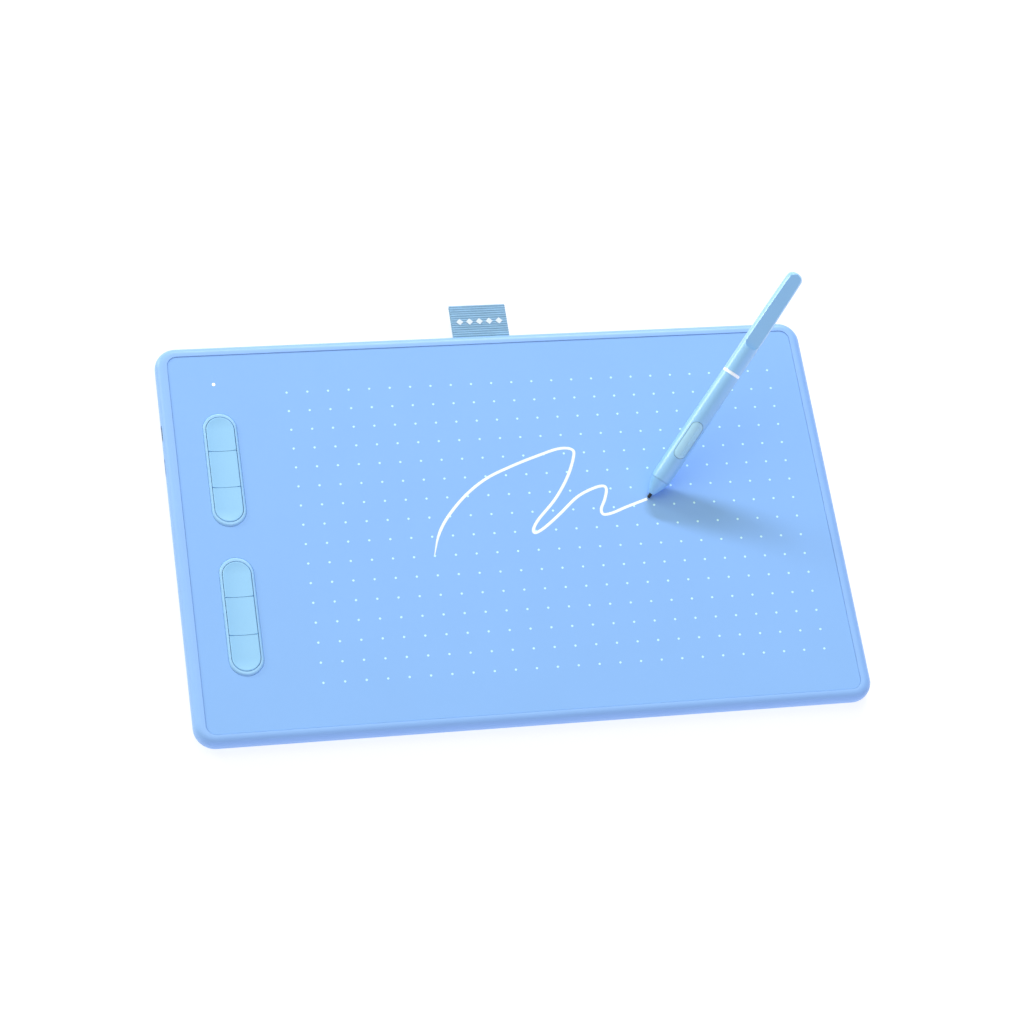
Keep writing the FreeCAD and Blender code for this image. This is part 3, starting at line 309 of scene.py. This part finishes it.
CASE_BLUE = (0.335, 0.575, 0.985)
SHEET_BLUE = (0.315, 0.560, 0.965)
KEY_BLUE = (0.345, 0.665, 0.945)
PEN_BLUE = (0.350, 0.680, 0.990)
RIBBON_BLUE = (0.335, 0.565, 0.765)
BEZEL_BLUE = (0.390, 0.690, 0.980)
ROCKER_BLUE = (0.520, 0.840, 1.000)
DOT_COLOR = (0.66, 0.97, 0.97)
LINE_COLOR = (0.97, 0.98, 0.97)
THREAD_COLOR = (0.94, 0.97, 0.98)
RING_WHITE = (0.98, 0.98, 0.98)
WHITE = (1.0, 1.0, 1.0, 1.0)
# The white ring glows faintly of itself: a painted brightness, as the ring is no lamp.
RING_PAINTED_GLOW = {"Emission_Color": WHITE, "Emission_Strength": 0.18}
PEN_LACQUER = {"Coat_Weight": 1.0, "Coat_Roughness": 0.42, "Coat_IOR": 1.6}


def drawing_film():
    """The sheet: matt film with a fine paper-like tooth."""
    shader = Shader("drawing_film", SHEET_BLUE, 0.62, Specular_IOR_Level=0.35)
    shader.vary_color(shader.noise(30 * MM), tint(SHEET_BLUE, 0.985))
    shader.vary_roughness(shader.noise(2.5 * MM), 0.05)
    shader.bump(shader.noise(0.9 * MM, 2.0), 0.006 * MM)
    shader.bump(shader.noise(0.25 * MM, 2.0), 0.006 * MM)
    return shader.material


def metal(name, color, roughness, brushed=(1, 1, 1)):
    """Stamped or rolled metal with fine drawn lines."""
    shader = Shader(name, color, roughness, Metallic=1.0)
    shader.vary_roughness(shader.noise(0.6 * MM, 3.0, brushed), 0.08)
    shader.bump(shader.noise(0.2 * MM, 2.0, brushed), 0.004 * MM)
    return shader.material


def circuit_board():
    """Green solder mask with the faint relief of the copper under it."""
    color = (0.012, 0.16, 0.075)
    shader = Shader("circuit_board", color, 0.35)
    shader.vary_color(shader.noise(1.6 * MM, 4.0, (1, 0.25, 1)), (0.02, 0.24, 0.12))
    shader.bump(shader.noise(0.8 * MM, 2.0, (1, 0.2, 1)), 0.02 * MM)
    return shader.material


def foam():
    """Open-cell foam."""
    color = (0.07, 0.072, 0.08)
    shader = Shader("foam", color, 0.95)
    shader.vary_color(shader.noise(0.6 * MM, 4.0), tint(color, 0.5))
    shader.bump(shader.noise(0.5 * MM, 4.0), 0.15 * MM)
    return shader.material


def rubber(name, color):
    """Matt moulded rubber."""
    shader = Shader(name, color, 0.8, Specular_IOR_Level=0.3)
    shader.vary_color(shader.noise(5 * MM), tint(color, 1.25))
    shader.bump(shader.noise(0.35 * MM, 3.0), 0.02 * MM)
    return shader.material


def winding():
    """Enamelled copper wire wound close."""
    shader = Shader("copper_winding", (0.62, 0.24, 0.09), 0.3, Metallic=0.9)
    shader.vary_roughness(shader.noise(0.5 * MM), 0.08)
    shader.bump(shader.noise(0.25 * MM, 1.0), 0.03 * MM)
    return shader.material


def status_light():
    """The lit lamp and the clear pipe over it."""
    glow = {"Emission_Color": WHITE, "Emission_Strength": 0.5}
    shader = Shader("status_light", (0.95, 0.98, 1.0), 0.2, **glow)
    shader.vary_roughness(shader.noise(0.6 * MM), 0.05)
    return shader.material


def ink(name, color):
    """Pale printed ink, lightened by a painted glow that it does not have under the lamps."""
    # The ink's emission is a painted glow, as printed ink is no lamp.
    glow = {"Emission_Color": (*color, 1.0), "Emission_Strength": 0.12}
    shader = Shader(name, color, 0.55, **glow)
    shader.vary_roughness(shader.noise(0.5 * MM), 0.05)
    return shader.material


def ribbon_weave():
    """Ribbed polyester ribbon: fine warp threads along the strip and lighter and darker picks."""
    shader = Shader("ribbon_weave", RIBBON_BLUE, 0.72, Sheen_Weight=0.25, Sheen_Roughness=0.4)
    shader.vary_color(shader.noise(1.2 * MM, 3.0, (0.15, 1, 1)), tint(RIBBON_BLUE, 0.82))
    shader.vary_roughness(shader.noise(0.8 * MM), 0.06)
    shader.bump(shader.noise(0.28 * MM, 2.0, (1, 0.2, 1)), 0.05 * MM)
    return shader.material


def woven_thread():
    """White thread woven into the ribbon."""
    shader = Shader("woven_thread", THREAD_COLOR, 0.75, Sheen_Weight=0.2)
    shader.vary_color(shader.noise(0.6 * MM), (0.84, 0.90, 0.94))
    shader.bump(shader.noise(0.25 * MM, 2.0, (1, 0.2, 1)), 0.05 * MM)
    return shader.material


MATERIALS = {
    "case_plastic": moulded_plastic("case_plastic", CASE_BLUE, 0.40),
    "drawing_film": drawing_film(),
    "key_plastic": moulded_plastic("key_plastic", KEY_BLUE, 0.36, 0.25 * MM, 0.003 * MM),
    "bezel_plastic": moulded_plastic("bezel_plastic", BEZEL_BLUE, 0.35, 0.25 * MM, 0.003 * MM),
    "knob_plastic": moulded_plastic("knob_plastic", CASE_BLUE, 0.40),
    "pen_plastic": moulded_plastic("pen_plastic", PEN_BLUE, 0.34, 0.3 * MM, 0.002 * MM, **PEN_LACQUER),
    "rocker_plastic": moulded_plastic("rocker_plastic", ROCKER_BLUE, 0.42),
    "ring_white": moulded_plastic("ring_white", RING_WHITE, 0.25, 0.3 * MM, 0.002 * MM, **RING_PAINTED_GLOW),
    "nib_black": moulded_plastic("nib_black", (0.02, 0.021, 0.026), 0.45),
    "pen_inner_plastic": moulded_plastic("pen_inner_plastic", (0.35, 0.50, 0.68), 0.5),
    "chip_black": moulded_plastic("chip_black", (0.012, 0.012, 0.014), 0.55),
    "screw_steel": metal("screw_steel", (0.55, 0.55, 0.57), 0.32),
    "inlet_steel": metal("inlet_steel", (0.72, 0.73, 0.75), 0.25, (1, 6, 6)),
    "switch_metal": metal("switch_metal", (0.65, 0.66, 0.68), 0.3),
    "shield_aluminium": metal("shield_aluminium", (0.78, 0.79, 0.8), 0.35, (0.1, 4, 1)),
    "battery_foil": metal("battery_foil", (0.66, 0.67, 0.7), 0.4),
    "foot_rubber": rubber("foot_rubber", (0.035, 0.04, 0.05)),
    "lead_rubber": rubber("lead_rubber", (0.4, 0.02, 0.02)),
    "foam_grey": foam(),
    "circuit_board": circuit_board(),
    "flex_amber": moulded_plastic("flex_amber", (0.55, 0.24, 0.03), 0.25),
    "led_white": status_light(),
    "light_pipe_clear": status_light(),
    "ribbon_weave": ribbon_weave(),
    "ferrite": moulded_plastic("ferrite", (0.03, 0.03, 0.034), 0.5),
    "copper_winding": winding(),
}


def dress_nodes():
    """Give every CAD node the material of its slot."""
    for entry in frame["record"]["subparts"]:
        for slot in frame["nodes"][entry["node"]].material_slots:
            slot.material = MATERIALS[entry["material_slot"]]


dress_nodes()


# ---------------------------------------------------------------- piece helpers


def add_piece(name, mesh, body, material):
    """Link a mesh as a piece that rides on a body."""
    piece = bpy.data.objects.new(name, mesh)
    bpy.context.scene.collection.objects.link(piece)
    mesh.materials.clear()
    mesh.materials.append(material)
    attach(piece, body)
    return piece


def join_rows(form, rows):
    """Skin closed rows of points, one after another, into a tube with both ends shut."""
    for first, second in zip(rows, rows[1:]):
        for column in range(len(first)):
            following = (column + 1) % len(first)
            form.faces.new((first[column], first[following], second[following], second[column]))
    form.faces.new(rows[0][::-1])
    form.faces.new(rows[-1])
    bmesh.ops.recalc_face_normals(form, faces=form.faces)


def add_disc(form, centre, diameter, thickness):
    """Add one thin disc to a form, standing on its centre."""
    place = Matrix.Translation(centre + Vector((0, 0, thickness / 2)))
    bmesh.ops.create_cone(
        form,
        cap_ends=True,
        segments=DOT_SIDES,
        radius1=diameter / 2,
        radius2=diameter / 2,
        depth=thickness,
        matrix=place,
    )


# ---------------------------------------------------------------- printed dots


def build_dot_grid():
    """The printed grid that marks the active area."""
    form = bmesh.new()
    for column in range(DOT_COLUMNS):
        for row in range(DOT_ROWS):
            x = DOT_GRID_X + (column - (DOT_COLUMNS - 1) / 2) * DOT_PITCH
            y = DOT_GRID_Y + (row - (DOT_ROWS - 1) / 2) * DOT_PITCH
            add_disc(form, Vector((x, y, sheet_level)), DOT_DIAMETER, INK_THICKNESS)
    add_piece("dot_grid", to_mesh(form, "dot_grid"), "case", ink("dot_ink", DOT_COLOR))


build_dot_grid()


# ---------------------------------------------------------------- drawn line

# The points that the line passes through, in millimetres from the case's middle.
LINE_POINTS = (
    (-42.2, -16.1),
    (-38.5, -5.0),
    (-32.5, 4.7),
    (-22.0, 15.9),
    (-10.0, 24.7),
    (4.0, 30.9),
    (18.0, 35.9),
    (30.0, 39.4),
    (36.9, 38.3),
    (36.4, 33.0),
    (31.5, 22.5),
    (23.5, 11.0),
    (13.5, 0.5),
    (10.0, -4.9),
    (10.8, -6.9),
    (16.0, -4.2),
    (24.5, 2.5),
    (35.0, 11.5),
    (44.0, 15.9),
    (49.6, 17.0),
    (51.0, 14.8),
    (49.2, 9.4),
    (46.6, 4.2),
    (47.3, 1.2),
    (51.8, 1.6),
    (60.0, 4.6),
    (71.4, 8.4),
)
LINE_WIDTH = 1.5 * MM
LINE_TAPER = 14 * MM
LINE_START_SHARE = 0.25
LINE_SAMPLES = 12
LINE_SHOULDER = 0.9
LINE_CROWN = 1.6


def smooth_path(points, samples):
    """Points along a Catmull-Rom curve through the given ones."""
    ends = [points[0] * 2 - points[1]] + list(points) + [points[-1] * 2 - points[-2]]
    path = []
    for index in range(1, len(ends) - 2):
        before, start, end, after = ends[index - 1 : index + 3]
        for step in range(samples):
            s = step / samples
            slope = (end - before) * s
            curve = (2 * before - 5 * start + 4 * end - after) * s * s
            twist = (3 * start - 3 * end + after - before) * s**3
            path.append((2 * start + slope + curve + twist) / 2)
    path.append(points[-1].copy())
    return path


def build_drawn_line():
    """One freehand line of even width that thins towards its start."""
    path = smooth_path([Vector((x * MM, y * MM, 0)) for x, y in LINE_POINTS], LINE_SAMPLES)
    form = bmesh.new()
    rows = []
    travelled = 0.0
    for index, point in enumerate(path):
        before = path[max(index - 1, 0)]
        after = path[min(index + 1, len(path) - 1)]
        along = (after - before).normalized()
        side = Vector((-along.y, along.x, 0))
        if index:
            travelled += (point - path[index - 1]).length
        share = LINE_START_SHARE + (1 - LINE_START_SHARE) * travelled / LINE_TAPER
        half = LINE_WIDTH / 2 * min(1.0, share)
        base = Vector((point.x, point.y, sheet_level))
        lift = Vector((0, 0, INK_THICKNESS))
        section = (
            base + side * half,
            base + side * half * LINE_SHOULDER + lift,
            base + lift * LINE_CROWN,
            base - side * half * LINE_SHOULDER + lift,
            base - side * half,
        )
        rows.append([form.verts.new(place) for place in section])
    join_rows(form, rows)
    add_piece("drawn_line", to_mesh(form, "drawn_line"), "case", ink("line_ink", LINE_COLOR))


build_drawn_line()


# ---------------------------------------------------------------- ribbon loop

RIBBON_THICKNESS = 0.8 * MM
RIBBON_RIB_PITCH = 1.32 * MM
RIBBON_RIB_HEIGHT = 0.34 * MM
RIBBON_EDGE_SCALLOP = 0.20 * MM
RIBBON_STEPS_PER_RIB = 6
# Where the ribbon's points lie across it, as shares of half its width, and how thick its edges are
# as a share of its middle.
RIBBON_COLUMNS = (-1.0, -0.985, -0.95, -0.6, -0.2, 0.2, 0.6, 0.95, 0.985, 1.0)
RIBBON_EDGE_SHARE = 0.25
RIBBON_MARKS = 5
RIBBON_MARK_PITCH = 5.2 * MM
RIBBON_MARK_SIZE = 3.8 * MM
RIBBON_MARK_FROM_FOLD = 9.0 * MM
RIBBON_MARK_RISE = 0.08 * MM


class RibbonPath:
    """The middle line of the folded strip, from its lower root round the fold to its upper root."""

    def __init__(self, low, high):
        self.root = low.y
        self.level = (low.z + high.z) / 2
        self.radius = (high.z - low.z - RIBBON_THICKNESS) / 2
        self.fold = high.y - self.radius - RIBBON_THICKNESS / 2
        self.run = self.fold - self.root
        self.bend = math.pi * self.radius
        self.length = self.run * 2 + self.bend

    def at(self, travelled):
        """The point at this distance along the strip, and the way out of the loop there."""
        if travelled < self.run:
            return Vector((0, self.root + travelled, self.level - self.radius)), Vector((0, 0, -1))
        if travelled < self.run + self.bend:
            angle = (travelled - self.run) / self.radius
            out = Vector((0, math.sin(angle), -math.cos(angle)))
            return Vector((0, self.fold, self.level)) + out * self.radius, out
        back = travelled - self.run - self.bend
        return Vector((0, self.fold - back, self.level + self.radius)), Vector((0, 0, 1))


def ribbon_side(middle, out, half, rise, columns):
    """Points across one face of the ribbon, drawn in at its two edges."""
    places = []
    for column in columns:
        edge = RIBBON_EDGE_SHARE if abs(column) == 1.0 else 1.0
        places.append(middle + Vector((column * half, 0, 0)) + out * rise * edge)
    return places


def build_ribbon():
    """The ribbed strip, folded on itself, with a rib across it at each pick of its thick weft."""
    low, high = (Vector(corner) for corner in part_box("pen_loop"))
    path = RibbonPath(low, high)
    centre = Vector(((low.x + high.x) / 2, 0, 0))
    half_width = (high.x - low.x) / 2
    ribs = round(path.length / RIBBON_RIB_PITCH)
    steps = ribs * RIBBON_STEPS_PER_RIB
    form = bmesh.new()
    rows = []
    for step in range(steps + 1):
        middle, out = path.at(path.length * step / steps)
        crest = (1 - math.cos(2 * math.pi * step / RIBBON_STEPS_PER_RIB)) / 2
        half = half_width - RIBBON_EDGE_SCALLOP * (1 - crest)
        outer = RIBBON_THICKNESS / 2 - RIBBON_RIB_HEIGHT * (1 - crest)
        inner = -RIBBON_THICKNESS / 2
        places = ribbon_side(centre + middle, out, half, outer, RIBBON_COLUMNS)
        places += ribbon_side(centre + middle, out, half, inner, reversed(RIBBON_COLUMNS))
        rows.append([form.verts.new(place) for place in places])
    join_rows(form, rows)
    for face in form.faces:
        face.smooth = len(face.verts) == 4
    mesh = to_mesh(form, "ribbon_loop")
    ribbon = add_piece("ribbon_loop", mesh, "case", MATERIALS["ribbon_weave"])
    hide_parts("pen_loop")
    marks = build_ribbon_marks(path, centre)


def build_ribbon_marks(path, centre):
    """A plain row of woven diamonds across the strip's upper run."""
    form = bmesh.new()
    top = path.level + path.radius + RIBBON_THICKNESS / 2
    half = RIBBON_MARK_SIZE / 2
    corners = (Vector((half, 0, 0)), Vector((0, half, 0)), Vector((-half, 0, 0)), Vector((0, -half, 0)))
    for number in range(RIBBON_MARKS):
        x = centre.x + (number - (RIBBON_MARKS - 1) / 2) * RIBBON_MARK_PITCH
        middle = Vector((x, path.fold - RIBBON_MARK_FROM_FOLD, top + RIBBON_MARK_RISE))
        crown = form.verts.new(middle)
        ring = [form.verts.new(middle + corner - Vector((0, 0, INK_THICKNESS))) for corner in corners]
        foot = form.verts.new(middle - Vector((0, 0, RIBBON_RIB_HEIGHT + RIBBON_MARK_RISE)))
        for index, corner in enumerate(ring):
            following = ring[(index + 1) % len(ring)]
            form.faces.new((crown, corner, following))
            form.faces.new((foot, following, corner))
    bmesh.ops.recalc_face_normals(form, faces=form.faces)
    return add_piece("ribbon_marks", to_mesh(form, "ribbon_marks"), "case", woven_thread())


build_ribbon()
